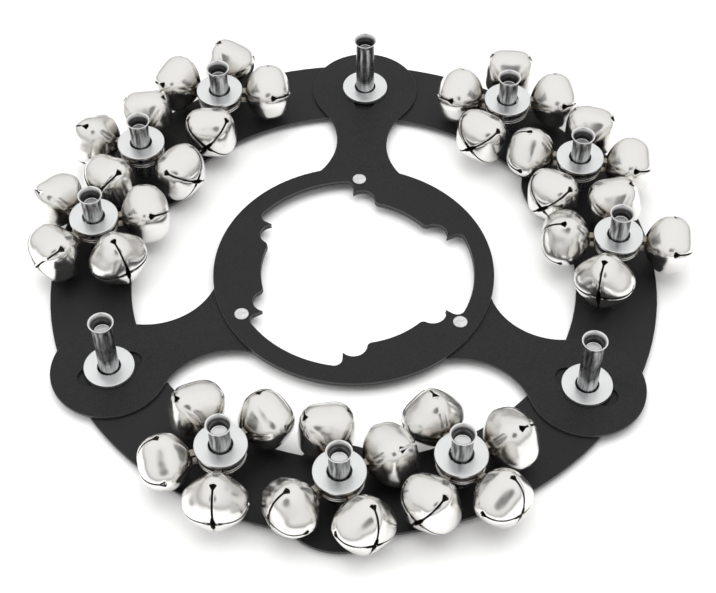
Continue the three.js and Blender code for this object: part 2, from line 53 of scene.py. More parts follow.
RING_AXIS = Vector(((hub_low.x + hub_high.x) / 2, (hub_low.y + hub_high.y) / 2, 0))
MOUTH_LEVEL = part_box("base_ring")[1].z
CAMERA_AZIMUTH = math.radians(2.64)
CAMERA_ELEVATION = math.radians(51.06)
CAMERA_DISTANCE = 490.6 * MM
CAMERA_LENS = 81.6
FRAME_CENTRE = RING_AXIS + Vector((2.73 * MM, -28.96 * MM, MOUTH_LEVEL))

camera_data = bpy.data.cameras.new("camera")
camera_data.sensor_fit = "HORIZONTAL"
camera_data.sensor_width = 36
camera_data.lens = CAMERA_LENS
camera_data.clip_start = 0.01
camera = bpy.data.objects.new("camera", camera_data)
bpy.context.scene.collection.objects.link(camera)
camera_back = Vector((
    math.sin(CAMERA_AZIMUTH) * math.cos(CAMERA_ELEVATION),
    -math.cos(CAMERA_AZIMUTH) * math.cos(CAMERA_ELEVATION),
    math.sin(CAMERA_ELEVATION),
))
camera.location = FRAME_CENTRE + camera_back * CAMERA_DISTANCE
camera.rotation_euler = camera_back.to_track_quat("Z", "Y").to_euler()
bpy.context.scene.camera = camera
bpy.context.scene.view_settings.view_transform = "Standard"


def new_material(name, base_color, metallic, roughness):
    """A material whose Principled shader has those values."""
    material = bpy.data.materials.new(name)
    material.use_nodes = True
    shader = shader_of(material)
    shader.inputs["Base Color"].default_value = (*base_color, 1)
    shader.inputs["Metallic"].default_value = metallic
    shader.inputs["Roughness"].default_value = roughness
    return material


def shader_of(material):
    return material.node_tree.nodes["Principled BSDF"]


TABLE_SIZE = 6.0
table_material = new_material("white_table", (0.93, 0.93, 0.93), 0, 0.6)
table_mesh = bpy.data.meshes.new("table_top")
half = TABLE_SIZE / 2
table_mesh.from_pydata(
    [(-half, -half, 0), (half, -half, 0), (half, half, 0), (-half, half, 0)], [], [(0, 1, 2, 3)]
)
table_mesh.materials.append(table_material)
table_top = bpy.data.objects.new("table_top", table_mesh)
bpy.context.scene.collection.objects.link(table_top)


def soft_box(name, place, size, power):
    """A square area light that faces the middle of the ring and leaves no reflection of its own."""
    light = bpy.data.lights.new(name, "AREA")
    light.size = size
    light.energy = power
    lamp = bpy.data.objects.new(name, light)
    lamp.location = place
    lamp.rotation_euler = Vector(place).to_track_quat("Z", "Y").to_euler()
    lamp.visible_glossy = False
    bpy.context.scene.collection.objects.link(lamp)


soft_box("overhead_box", place=(0.1, 0.25, 1.3), size=1.4, power=12)
soft_box("left_box", place=(-1.1, -0.2, 0.7), size=0.7, power=5)

# The room, as the plated pieces mirror it: grey low down, paler with height and white overhead.
room = bpy.data.worlds.new("studio_room")
bpy.context.scene.world = room
room.use_nodes = True
room_nodes = room.node_tree.nodes
room_links = room.node_tree.links
background = room_nodes["Background"]
direction = room_nodes.new("ShaderNodeTexCoord")
split_direction = room_nodes.new("ShaderNodeSeparateXYZ")
wall_ramp = room_nodes.new("ShaderNodeValToRGB")
room_links.new(direction.outputs["Generated"], split_direction.inputs["Vector"])
room_links.new(split_direction.outputs["Z"], wall_ramp.inputs["Fac"])
wall_ramp.color_ramp.elements[0].position = 0.02
wall_ramp.color_ramp.elements[0].color = (0.34, 0.32, 0.3, 1)
wall_ramp.color_ramp.elements[1].position = 0.3
wall_ramp.color_ramp.elements[1].color = (0.9, 0.9, 0.895, 1)
ceiling = wall_ramp.color_ramp.elements.new(0.85)
ceiling.color = (1, 1, 0.995, 1)

# The camera on its stand is the one dark thing in the room: a soft spot in everything that mirrors it.
DARK_SPOT_STRENGTH = 0.85
DARK_SPOT_ANGLE = math.radians(23)
DARK_SPOT_CORE_ANGLE = math.radians(6)
toward_camera = room_nodes.new("ShaderNodeVectorMath")
toward_camera.operation = "DOT_PRODUCT"
toward_camera.inputs[1].default_value = camera_back
room_links.new(direction.outputs["Generated"], toward_camera.inputs[0])
dark_spot = room_nodes.new("ShaderNodeMapRange")
dark_spot.interpolation_type = "SMOOTHERSTEP"
dark_spot.inputs["From Min"].default_value = math.cos(DARK_SPOT_ANGLE)
dark_spot.inputs["From Max"].default_value = math.cos(DARK_SPOT_CORE_ANGLE)
dark_spot.inputs["To Max"].default_value = DARK_SPOT_STRENGTH
room_links.new(toward_camera.outputs["Value"], dark_spot.inputs["Value"])
room_with_spot = room_nodes.new("ShaderNodeMixRGB")
room_with_spot.inputs["Color2"].default_value = (0.05, 0.045, 0.04, 1)
room_links.new(dark_spot.outputs["Result"], room_with_spot.inputs["Fac"])
room_links.new(wall_ramp.outputs["Color"], room_with_spot.inputs["Color1"])
room_links.new(room_with_spot.outputs["Color"], background.inputs["Color"])
background.inputs["Strength"].default_value = 1

# Base ring: a flat ring of thin steel plate, punched round, with a round pad bulging past
# both edges under the middle cluster of each group of three. It is powder coated satin black.
ARM_ANGLES = (90, 210, 330)
PAD_ANGLES = (30, 150, 270)
THIRD_OF_TURN = 120
RIVET_CIRCLE = 85 * MM
RING_HALF_WIDTH = 13 * MM
PAD_RADIUS = 18.5 * MM
RING_PLATE = 1.2 * MM
EDGE_ROUND = 0.22 * MM
FLAT_NORMAL = 0.9
ARC_STEP = 3.0


def polar(radius, degrees):
    """A point in the plane of the ring, about its axis."""
    return Vector((radius * math.cos(math.radians(degrees)), radius * math.sin(math.radians(degrees))))


def arc(centre, radius, start, end):
    """Points along an arc, from one angle to another in degrees."""
    steps = max(2, math.ceil(abs(end - start) / ARC_STEP))
    return [centre + polar(radius, start + (end - start) * i / steps) for i in range(steps + 1)]


def circle(centre, radius):
    return arc(centre, radius, 0, 360)[:-1]


def bearing(start, end):
    return math.degrees(math.atan2(end.y - start.y, end.x - start.x))


def cut_plate(name, outlines, bottom, thickness, edge_round):
    """A flat coated plate with softened edges, from an outline and its holes, standing on a level."""
    curve = bpy.data.curves.new(name, "CURVE")
    curve.dimensions = "2D"
    curve.fill_mode = "BOTH"
    curve.extrude = thickness / 2 - edge_round
    curve.bevel_depth = edge_round
    curve.bevel_resolution = 2
    curve.offset = -edge_round
    for outline in outlines:
        spline = curve.splines.new("POLY")
        spline.points.add(len(outline) - 1)
        for point, place in zip(spline.points, outline):
            point.co = (place.x, place.y, 0, 1)
        spline.use_cyclic_u = True
    source = bpy.data.objects.new(name + "_outline", curve)
    bpy.context.scene.collection.objects.link(source)
    bpy.context.view_layer.update()
    mesh = bpy.data.meshes.new_from_object(source.evaluated_get(bpy.context.evaluated_depsgraph_get()))
    bpy.data.objects.remove(source)
    mesh.name = name
    mesh.transform(Matrix.Translation(RING_AXIS + Vector((0, 0, bottom + thickness / 2))))
    plate = add_piece(name, mesh, powder_black, sharp_degrees=30)
    # The faces of the punched edges take the paler coat, a painted highlight.
    mesh.materials.append(painted_edge_highlight)
    for face in mesh.polygons:
        if abs(face.normal.z) < FLAT_NORMAL:
            face.material_index = 1
    return plate


def add_piece(name, mesh, material, sharp_degrees):
    """An object of that mesh, smooth but for the edges sharper than an angle."""
    mesh.materials.clear()
    mesh.materials.append(material)
    for face in mesh.polygons:
        face.use_smooth = True
    mesh.set_sharp_from_angle(angle=math.radians(sharp_degrees))
    piece = bpy.data.objects.new(name, mesh)
    bpy.context.scene.collection.objects.link(piece)
    return piece


def node_group(name, inputs, outputs):
    """An empty shader node group with those sockets, as (name, type, default)."""
    group = bpy.data.node_groups.new(name, "ShaderNodeTree")
    for socket_name, socket_type, default in inputs:
        socket = group.interface.new_socket(socket_name, in_out="INPUT", socket_type=socket_type)
        socket.default_value = default
    for socket_name, socket_type in outputs:
        group.interface.new_socket(socket_name, in_out="OUTPUT", socket_type=socket_type)
    return group, group.nodes.new("NodeGroupInput"), group.nodes.new("NodeGroupOutput")


# Fine grain of a baked or plated skin: a small bump, and a value that shifts roughness and colour.
grain, grain_in, grain_out = node_group(
    "surface_grain",
    [
        ("Size", "NodeSocketFloat", 1),
        ("Depth", "NodeSocketFloat", 0.1),
        ("Patches", "NodeSocketFloat", 1),
    ],
    [
        ("Normal", "NodeSocketVector"),
        ("Patch", "NodeSocketFloat"),
        ("Speck", "NodeSocketFloat"),
    ],
)
place = grain.nodes.new("ShaderNodeTexCoord")
fine = grain.nodes.new("ShaderNodeTexNoise")
fine.inputs["Detail"].default_value = 3
broad = grain.nodes.new("ShaderNodeTexNoise")
broad.inputs["Detail"].default_value = 4
bump = grain.nodes.new("ShaderNodeBump")
bump.inputs["Distance"].default_value = 0.1 * MM
grain.links.new(place.outputs["Object"], fine.inputs["Vector"])
grain.links.new(place.outputs["Object"], broad.inputs["Vector"])
grain.links.new(grain_in.outputs["Size"], fine.inputs["Scale"])
grain.links.new(grain_in.outputs["Patches"], broad.inputs["Scale"])
grain.links.new(grain_in.outputs["Depth"], bump.inputs["Strength"])
grain.links.new(fine.outputs["Fac"], bump.inputs["Height"])
grain.links.new(bump.outputs["Normal"], grain_out.inputs["Normal"])
grain.links.new(broad.outputs["Fac"], grain_out.inputs["Patch"])
grain.links.new(fine.outputs["Fac"], grain_out.inputs["Speck"])


def add_grain(material, size, depth, patches):
    """Places the grain in a material, with the size of its specks and patches per metre."""
    node = material.node_tree.nodes.new("ShaderNodeGroup")
    node.node_tree = grain
    node.inputs["Size"].default_value = size
    node.inputs["Depth"].default_value = depth
    node.inputs["Patches"].default_value = patches
    material.node_tree.links.new(node.outputs["Normal"], shader_of(material).inputs["Normal"])
    return node


def ramp_to(material, source, socket, low, high, start=0.3, end=0.7):
    """Feeds a socket of the shader with a mix of two colours or grey values, by a mask."""
    ramp = material.node_tree.nodes.new("ShaderNodeValToRGB")
    ramp.color_ramp.elements[0].position = start
    ramp.color_ramp.elements[0].color = low
    ramp.color_ramp.elements[1].position = end
    ramp.color_ramp.elements[1].color = high
    material.node_tree.links.new(source, ramp.inputs["Fac"])
    material.node_tree.links.new(ramp.outputs["Color"], shader_of(material).inputs[socket])


def grey(value):
    return (value, value, value, 1)


powder_black = new_material("powder_coat_black", (0.01, 0.01, 0.0105), 0, 0.42)
shader_of(powder_black).inputs["Specular IOR Level"].default_value = 0.22
powder_grain = add_grain(powder_black, 2600, 0.35, 60)
ramp_to(powder_black, powder_grain.outputs["Patch"], "Roughness", grey(0.36), grey(0.5))
ramp_to(
    powder_black, powder_grain.outputs["Speck"], "Base Color",
    (0.007, 0.007, 0.0073, 1), (0.017, 0.017, 0.0175, 1),
)

# The punched edges get a paler colour than the flats, a painted highlight along each edge. They also
# get more specular and less roughness, so they look glossier.
painted_edge_highlight = new_material("powder_coat_painted_edge_highlight", (0.04, 0.04, 0.041), 0, 0.35)
shader_of(painted_edge_highlight).inputs["Specular IOR Level"].default_value = 0.4
edge_highlight_grain = add_grain(painted_edge_highlight, 2600, 0.2, 60)
ramp_to(painted_edge_highlight, edge_highlight_grain.outputs["Patch"], "Roughness", grey(0.3), grey(0.42))
ramp_to(
    painted_edge_highlight, edge_highlight_grain.outputs["Speck"], "Base Color",
    (0.025, 0.025, 0.0255, 1), (0.06, 0.06, 0.061, 1),
)

middle = Vector((0, 0))
ring_outer = RIVET_CIRCLE + RING_HALF_WIDTH
ring_inner = RIVET_CIRCLE - RING_HALF_WIDTH


def ring_edge(edge_radius):
    """One edge of the ring, with the pads' round bulges past it."""
    cosine = (edge_radius**2 + RIVET_CIRCLE**2 - PAD_RADIUS**2) / (2 * edge_radius * RIVET_CIRCLE)
    half_bulge = math.degrees(math.acos(cosine))
    points = []
    for pad_angle in PAD_ANGLES:
        pad = polar(RIVET_CIRCLE, pad_angle)
        enter = bearing(pad, polar(edge_radius, pad_angle - half_bulge))
        leave = bearing(pad, polar(edge_radius, pad_angle + half_bulge))
        if edge_radius > RIVET_CIRCLE:
            sweep = (leave - enter) % 360
        else:
            sweep = -((enter - leave) % 360)
        points += arc(pad, PAD_RADIUS, enter, enter + sweep)
        next_bulge = pad_angle + THIRD_OF_TURN - half_bulge
        points += arc(middle, edge_radius, pad_angle + half_bulge, next_bulge)[1:-1]
    return points


HEAD_THICKNESS = 1.5 * MM
RING_TOP = HEAD_THICKNESS + RING_PLATE
ring_plate = cut_plate(
    "ring_plate", [ring_edge(ring_outer), ring_edge(ring_inner)],
    HEAD_THICKNESS, RING_PLATE, EDGE_ROUND,
)
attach(ring_plate, "ring")
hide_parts("base_ring")

# Rivets: twelve tubular rivets of zinc-plated steel, pressed up through the ring, each with a flat
# head below. The blind bore is drilled from the top, and its mouth is flared so nothing slips off.
SHANK_RADIUS = 3.15 * MM
HEAD_RADIUS = 4.8 * MM
FLARE_RADIUS = 4.0 * MM
FLARE_HEIGHT = 1.6 * MM
LIP_INSIDE = FLARE_RADIUS - 0.45 * MM
BORE_RADIUS = 2.7 * MM
BORE_DEPTH = 4.2 * MM
RIVET_ROUND = 0.35 * MM
FLARE_OPENS_BY = 0.35
LATHE_STEPS = 48


def turned_mesh(name, profile, steps=LATHE_STEPS):
    """A turned shape about Z, from (radius, height) points that go counter-clockwise round its section,
    from axis to axis or back to the first point."""
    vertices = []
    rows = []
    closed = profile[0] == profile[-1]
    for radius, height in profile[:-1] if closed else profile:
        if radius == 0:
            rows.append([len(vertices)] * steps)
            vertices.append((0, 0, height))
            continue
        rows.append(range(len(vertices), len(vertices) + steps))
        for i in range(steps):
            turn = 2 * math.pi * i / steps
            vertices.append((radius * math.cos(turn), radius * math.sin(turn), height))
    if closed:
        rows.append(rows[0])
    faces = []
    for low, high in zip(rows, rows[1:]):
        for i in range(steps):
            j = (i + 1) % steps
            corners = [low[i], low[j], high[j], high[i]]
            faces.append(list(dict.fromkeys(corners)))
    mesh = bpy.data.meshes.new(name)
    mesh.from_pydata(vertices, [], faces)
    return mesh


def rounded(profile, radius, steps=3):
    """The same profile with each inner corner cut by a small arc."""
    points = [Vector(point) for point in profile]
    out = [profile[0]]
    for before, corner, after in zip(points, points[1:], points[2:]):
        room = min(radius, (before - corner).length / 2, (after - corner).length / 2)
        start = corner + (before - corner).normalized() * room
        end = corner + (after - corner).normalized() * room
        for i in range(steps + 1):
            t = i / steps
            bend = start * (1 - t) ** 2 + corner * 2 * t * (1 - t) + end * t**2
            out.append((bend.x, bend.y))
    out.append(profile[-1])
    return out


rivet_profile = rounded([
    (0, 0),
    (HEAD_RADIUS, 0),
    (HEAD_RADIUS, HEAD_THICKNESS),
    (SHANK_RADIUS, HEAD_THICKNESS),
    (SHANK_RADIUS, MOUTH_LEVEL - FLARE_HEIGHT),
    (SHANK_RADIUS + FLARE_OPENS_BY * (FLARE_RADIUS - SHANK_RADIUS), MOUTH_LEVEL - 0.4 * FLARE_HEIGHT),
    (FLARE_RADIUS, MOUTH_LEVEL),
    (LIP_INSIDE, MOUTH_LEVEL),
    (BORE_RADIUS + FLARE_OPENS_BY * (LIP_INSIDE - BORE_RADIUS), MOUTH_LEVEL - 0.45 * FLARE_HEIGHT),
    (BORE_RADIUS, MOUTH_LEVEL - FLARE_HEIGHT),
    (BORE_RADIUS, MOUTH_LEVEL - BORE_DEPTH),
    (0, MOUTH_LEVEL - BORE_DEPTH - 0.1 * BORE_RADIUS),
], RIVET_ROUND)
rivet_mesh = turned_mesh("tubular_rivet", rivet_profile)
zinc_steel = new_material("zinc_plated_steel", (0.6, 0.6, 0.605), 1, 0.26)
zinc_grain = add_grain(zinc_steel, 1500, 0.12, 260)
ramp_to(zinc_steel, zinc_grain.outputs["Patch"], "Roughness", grey(0.2), grey(0.38))

# Dull streaks run down the shank, where the tube slid through its die.
drawn_nodes = zinc_steel.node_tree.nodes
drawn_place = drawn_nodes.new("ShaderNodeTexCoord")
drawn_stretch = drawn_nodes.new("ShaderNodeMapping")
drawn_stretch.inputs["Scale"].default_value = (1, 1, 0.12)
draw_lines = drawn_nodes.new("ShaderNodeTexNoise")
draw_lines.inputs["Scale"].default_value = 900
draw_lines.inputs["Detail"].default_value = 3
zinc_steel.node_tree.links.new(drawn_place.outputs["Object"], drawn_stretch.inputs["Vector"])
zinc_steel.node_tree.links.new(drawn_stretch.outputs["Vector"], draw_lines.inputs["Vector"])
ramp_to(
    zinc_steel, draw_lines.outputs["Fac"], "Base Color",
    (0.12, 0.12, 0.124, 1), (0.68, 0.68, 0.69, 1), 0.36, 0.6,
)


def middle_of(node):
    """The middle of a solid's box, seen from above."""
    low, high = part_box(node)
    return Vector(((low.x + high.x) / 2, (low.y + high.y) / 2, 0))


tall_rivets = [(f"tall_rivet_{n}", middle_of(f"lobe_washer_{n}")) for n in (1, 2, 3)]
cluster_rivets = [(f"cluster_rivet_{n}", middle_of(f"cluster_washer_{n}")) for n in range(1, 10)]
for name, post in tall_rivets + cluster_rivets:
    rivet = add_piece(name, rivet_mesh, zinc_steel, sharp_degrees=40)
    rivet.location = post
    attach(rivet, "ring")

# The wall of the bore is painted with shade: its colour is dark, and darker with depth. Its floor has
# painted light, the same bright metal as the rolled lip, which is bright too.
bore_painted_shade = new_material("drilled_bore_painted_shade", (0.3, 0.3, 0.3), 1, 0.35)
add_grain(bore_painted_shade, 1500, 0.2, 300)
bore_nodes = bore_painted_shade.node_tree.nodes
bore_place = bore_nodes.new("ShaderNodeTexCoord")
bore_split = bore_nodes.new("ShaderNodeSeparateXYZ")
bore_shade_by_depth = bore_nodes.new("ShaderNodeMapRange")
bore_shade_by_depth.inputs["From Min"].default_value = MOUTH_LEVEL - BORE_DEPTH
bore_shade_by_depth.inputs["From Max"].default_value = MOUTH_LEVEL
bore_painted_shade.node_tree.links.new(bore_place.outputs["Object"], bore_split.inputs["Vector"])
bore_painted_shade.node_tree.links.new(bore_split.outputs["Z"], bore_shade_by_depth.inputs["Value"])
# Dark deep down, paler towards the mouth: painted shade in the bore.
ramp_to(
    bore_painted_shade, bore_shade_by_depth.outputs["Result"], "Base Color",
    (0.08, 0.08, 0.08, 1), (0.6, 0.6, 0.6, 1), 0.3, 0.95,
)
lip_metal_and_painted_floor_light = new_material("lip_metal_and_painted_floor_light", (0.8, 0.8, 0.8), 1, 0.22)
add_grain(lip_metal_and_painted_floor_light, 1500, 0.05, 300)
rivet_mesh.materials.append(bore_painted_shade)
rivet_mesh.materials.append(lip_metal_and_painted_floor_light)
LIP_LEVEL = MOUTH_LEVEL - 0.15 * FLARE_HEIGHT
for face in rivet_mesh.polygons:
    faces_inward = face.normal.xy.dot(face.center.xy) < 0
    bore_floor = face.normal.z > FLAT_NORMAL and face.center.xy.length < BORE_RADIUS
    # The floor of the bore takes the bright lip metal, a painted light; the inward faces of the bore
    # take its painted shade.
    if bore_floor or face.center.z > LIP_LEVEL:
        face.material_index = 2
    elif faces_inward and face.center.z > MOUTH_LEVEL - BORE_DEPTH:
        face.material_index = 1

# Spider: the loose centre plate, thin steel like the ring and with the same coat. Three arms
# with hollow sides end in round lobes that lie on the ring, each slotted along the arm for its rivet.
SPIDER_PLATE = 1 * MM
LOBE_RADIUS = 18.4 * MM
NECK_HALF_WIDTH = 8.6 * MM
NECK_FILLET = 22.6 * MM
HUB_RADIUS = 45.5 * MM
SLOT_RADIUS = SHANK_RADIUS + 0.45 * MM
SLOT_HALF_LENGTH = 10.5 * MM
BORE_CIRCLE = 30 * MM
WINDOW_RADIUS = 39 * MM
WINDOW_START = 3
WINDOW_END = 57
WINDOW_CORNER = 2.5 * MM
SCALLOP_RADIUS = 4.2 * MM
SCALLOP_DEPTH = 4.9 * MM
SCALLOP_FILLET = 2 * MM
TONGUE_RADIUS = 33.5 * MM


def corner_angle(a, b, opposite):
    """The angle between two sides of a triangle, from their lengths and the third side's."""
    return math.degrees(math.acos((a**2 + b**2 - opposite**2) / (2 * a * b)))


def scallop(wall, side, grow):
    """A scallop in the bore beside a window's wall, from the tongue's point to its fillet's end."""
    radius = SCALLOP_RADIUS + grow
    fillet_radius = SCALLOP_FILLET - grow
    hollow_distance = BORE_CIRCLE + SCALLOP_DEPTH - SCALLOP_RADIUS
    fillet_distance = BORE_CIRCLE + SCALLOP_FILLET
    hollow_angle = wall + side * corner_angle(hollow_distance, TONGUE_RADIUS, SCALLOP_RADIUS)
    fillet_angle = hollow_angle + side * corner_angle(
        hollow_distance, fillet_distance, SCALLOP_RADIUS + SCALLOP_FILLET
    )
    hollow = polar(hollow_distance, hollow_angle)
    fillet = polar(fillet_distance, fillet_angle)
    start = bearing(hollow, polar(TONGUE_RADIUS, wall))
    sweep = side * ((side * (bearing(hollow, fillet) - start)) % 360)
    back = bearing(fillet, hollow)
    turn = -side * ((side * (back - fillet_angle - 180)) % 360)
    return arc(hollow, radius, start, start + sweep) + arc(fillet, fillet_radius, back, back + turn)[1:]


def hub_opening(grow):
    """The opening in the hub, larger by grow: a bore, with a window and two scallops to each arm."""
    corner = WINDOW_RADIUS - WINDOW_CORNER
    inset = math.degrees(math.asin(WINDOW_CORNER / corner))
    points = []
    for arm in ARM_ANGLES:
        start = arm + WINDOW_START
        end = arm + WINDOW_END
        points += arc(polar(corner, start + inset), WINDOW_CORNER + grow, start - 90, start + inset)
        points += arc(middle, WINDOW_RADIUS + grow, start + inset, end - inset)[1:-1]
        points += arc(polar(corner, end - inset), WINDOW_CORNER + grow, end - inset, end + 90)
        leaving = scallop(end, 1, grow)
        arriving = scallop(arm + THIRD_OF_TURN + WINDOW_START, -1, grow)[::-1]
        bore_start = bearing(middle, leaving[-1])
        bore_sweep = (bearing(middle, arriving[0]) - bore_start) % 360
        points += leaving
        points += arc(middle, BORE_CIRCLE + grow, bore_start, bore_start + bore_sweep)[1:-1]
        points += arriving
    return points


def spider_outline():
    across = NECK_HALF_WIDTH + NECK_FILLET
    away = LOBE_RADIUS + NECK_FILLET
    along = RIVET_CIRCLE - math.sqrt(away**2 - across**2)
    fillet_distance = math.hypot(across, along)
    cosine = (HUB_RADIUS**2 + fillet_distance**2 - NECK_FILLET**2) / (2 * HUB_RADIUS * fillet_distance)
    sideways = math.degrees(math.atan2(across, along))
    meets = sideways - math.degrees(math.acos(cosine))
    points = []
    for arm in ARM_ANGLES:
        lobe = polar(RIVET_CIRCLE, arm)
        right = polar(fillet_distance, arm - sideways)
        left = polar(fillet_distance, arm + sideways)
        to_lobe = bearing(right, lobe)
        turn = (bearing(right, polar(HUB_RADIUS, arm - meets)) - to_lobe) % 360
        points += arc(right, NECK_FILLET, to_lobe + turn, to_lobe)
        start = to_lobe - 180
        sweep = (bearing(lobe, left) - start) % 360
        points += arc(lobe, LOBE_RADIUS, start, start + sweep)[1:-1]
        left_start = bearing(left, lobe)
        points += arc(left, NECK_FILLET, left_start, left_start - turn)
        points += arc(middle, HUB_RADIUS, arm + meets, arm + THIRD_OF_TURN - meets)[1:-1]
    return points


def lobe_slot(arm):
    reach = SLOT_HALF_LENGTH - SLOT_RADIUS
    outer = polar(RIVET_CIRCLE + reach, arm)
    inner = polar(RIVET_CIRCLE - reach, arm)
    return arc(outer, SLOT_RADIUS, arm - 90, arm + 90) + arc(inner, SLOT_RADIUS, arm + 90, arm + 270)


spider_plate = cut_plate(
    "spider_plate", [spider_outline(), hub_opening(0)] + [lobe_slot(arm) for arm in ARM_ANGLES],
    RING_TOP, SPIDER_PLATE, EDGE_ROUND,
)
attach(spider_plate, "centre_plate")
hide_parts("spider")

# Hub disc: a second disc of the same plate with the same opening, riveted flat on the spider's hub
# with three small flat-headed rivets of bright steel, one in line with each arm.
DISC_PLATE = 1 * MM
SPIDER_TOP = RING_TOP + SPIDER_PLATE
DISC_TOP = SPIDER_TOP + DISC_PLATE
HUB_RIVET_CIRCLE = 40 * MM
HUB_RIVET_RADIUS = 2.3 * MM
HUB_RIVET_RISE = 0.4 * MM
HUB_RIVET_SEAT = 0.1 * MM
DISC_OPENING_STEP = 0.12 * MM

hub_plate = cut_plate(
    "hub_plate", [circle(middle, HUB_RADIUS), hub_opening(DISC_OPENING_STEP)],
    SPIDER_TOP, DISC_PLATE, EDGE_ROUND,
)
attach(hub_plate, "centre_plate")
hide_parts("hub_disc")
bright_steel = new_material("bright_steel", (0.76, 0.76, 0.765), 1, 0.3)
bright_grain = add_grain(bright_steel, 1800, 0.12, 700)
ramp_to(
    bright_steel, bright_grain.outputs["Patch"], "Base Color",
    (0.62, 0.62, 0.625, 1), (0.86, 0.86, 0.865, 1),
)
head_profile = rounded([
    (0, -HUB_RIVET_SEAT),
    (HUB_RIVET_RADIUS, -HUB_RIVET_SEAT),
    (HUB_RIVET_RADIUS, 0.45 * HUB_RIVET_RISE),
    (0.8 * HUB_RIVET_RADIUS, 0.85 * HUB_RIVET_RISE),
    (0, HUB_RIVET_RISE),
], 0.5 * MM)
head_mesh = turned_mesh("hub_rivet_head", head_profile)
tail_profile = rounded([
    (0, -HUB_RIVET_RISE),
    (0.9 * HUB_RIVET_RADIUS, -0.8 * HUB_RIVET_RISE),
    (HUB_RIVET_RADIUS, 0),
    (0, 0),
], 0.2 * MM)
tail_mesh = turned_mesh("hub_rivet_tail", tail_profile)
for number, arm in enumerate(ARM_ANGLES, 1):
    place_on_arm = polar(HUB_RIVET_CIRCLE, arm)
    for kind, mesh, level in (("head", head_mesh, DISC_TOP), ("tail", tail_mesh, RING_TOP)):
        rivet = add_piece(f"hub_rivet_{kind}_{number}", mesh, bright_steel, sharp_degrees=40)
        rivet.location = RING_AXIS + Vector((place_on_arm.x, place_on_arm.y, level))
        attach(rivet, "centre_plate")

# Washers: a thick one lies on each lobe round its tall rivet, and a thinner one on the ears of each
# cluster's bells, below the flare. They are punched from zinc-plated steel, with rounded corners.
WASHER_RADIUS = 7.9 * MM
WASHER_HOLE_RADIUS = SHANK_RADIUS + 0.45 * MM
WASHER_CORNER = 0.28 * MM


def washer_mesh(name, thickness):
    """A washer that stands on the origin, with the corners of its section rounded."""
    half_way = (WASHER_HOLE_RADIUS, thickness / 2)
    section = rounded([
        half_way,
        (WASHER_HOLE_RADIUS, 0),
        (WASHER_RADIUS, 0),
        (WASHER_RADIUS, thickness),
        (WASHER_HOLE_RADIUS, thickness),
        half_way,
    ], WASHER_CORNER)
    return turned_mesh(name, section)


zinc_washer = new_material("zinc_plated_washer", (0.84, 0.85, 0.855), 1, 0.36)
washer_grain = add_grain(zinc_washer, 1200, 0.16, 180)
ramp_to(zinc_washer, washer_grain.outputs["Patch"], "Roughness", grey(0.28), grey(0.46))
WASHER_KINDS = (("lobe_washer", 3, "centre_plate"), ("cluster_washer", 9, "cluster_{}"))
for kind, count, body in WASHER_KINDS:
    low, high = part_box(f"{kind}_1")
    mesh = washer_mesh(kind, high.z - low.z)
    for number in range(1, count + 1):
        node = f"{kind}_{number}"
        washer = add_piece(node + "_plated", mesh, zinc_washer, sharp_degrees=40)
        washer.location = middle_of(node) + Vector((0, 0, low.z))
        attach(washer, body.format(number))
        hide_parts(node)

# Split rings: flat steel wire wound in two turns round each cluster's rivet, through the ears of its
# four bells. The turns lie level, one over the other, and a short ramp joins them.
WIRE_WIDTH = 0.9 * MM
WIRE_HEIGHT = 0.5 * MM
WIRE_ROUND = 0.16 * MM
RAMP = 40
WIRE_STEP = 8


def rounded_box(width, height, radius, steps=3):
    """The section of a flat bar with rounded corners, counter-clockwise about its middle."""
    corner_x = width / 2 - radius
    corner_y = height / 2 - radius
    points = []
    for quarter, (x, y) in enumerate(((1, 1), (-1, 1), (-1, -1), (1, -1))):
        for i in range(steps + 1):
            turn = math.pi / 2 * (quarter + i / steps)
            points.append((
                x * corner_x + radius * math.cos(turn),
                y * corner_y + radius * math.sin(turn),
            ))
    return points


def swept_mesh(name, stations):
    """A closed bar through stations, each one a ring of points; its two ends are capped."""
    size = len(stations[0])
    vertices = [point for station in stations for point in station]
    faces = []
    for row in range(len(stations) - 1):
        for i in range(size):
            j = (i + 1) % size
            low = row * size
            high = low + size
            faces.append((low + i, high + i, high + j, low + j))
    faces.append(tuple(range(size)))
    faces.append(tuple(reversed(range(len(vertices) - size, len(vertices)))))
    mesh = bpy.data.meshes.new(name)
    mesh.from_pydata(vertices, [], faces)
    return mesh


ring_node_low, ring_node_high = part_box("split_ring_1")
turn_rise = ring_node_high.z - ring_node_low.z - WIRE_HEIGHT
wire_radius = (ring_node_high.x - ring_node_low.x - WIRE_WIDTH) / 2


def wire_station(turned_by):
    """The wire's section at an angle along its two turns, from 0 to 720 less the ramp."""
    ramp_share = min(max((turned_by - (360 - RAMP)) / RAMP, 0), 1)
    eased = ramp_share**2 * (3 - 2 * ramp_share)
    level = WIRE_HEIGHT / 2 + turn_rise * eased
    outward = polar(1, RAMP + turned_by)
    return [
        (outward.x * (wire_radius + x), outward.y * (wire_radius + x), level + y)
        for x, y in rounded_box(WIRE_WIDTH, WIRE_HEIGHT, WIRE_ROUND)
    ]


wire_length = 720 - RAMP
wire_steps = wire_length // WIRE_STEP
wire_stations = [wire_station(wire_length * i / wire_steps) for i in range(wire_steps + 1)]
split_ring_mesh = swept_mesh("split_ring_wire", wire_stations)
steel_wire = new_material("nickel_plated_wire", (0.7, 0.685, 0.66), 1, 0.22)
add_grain(steel_wire, 2500, 0.06, 400)
for number in range(1, 10):
    node = f"split_ring_{number}"
    split_ring = add_piece(node + "_wire", split_ring_mesh, steel_wire, sharp_degrees=60)
    split_ring.location = middle_of(f"cluster_washer_{number}") + Vector((0, 0, ring_node_low.z))
    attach(split_ring, f"cluster_{number}")
    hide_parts(node)

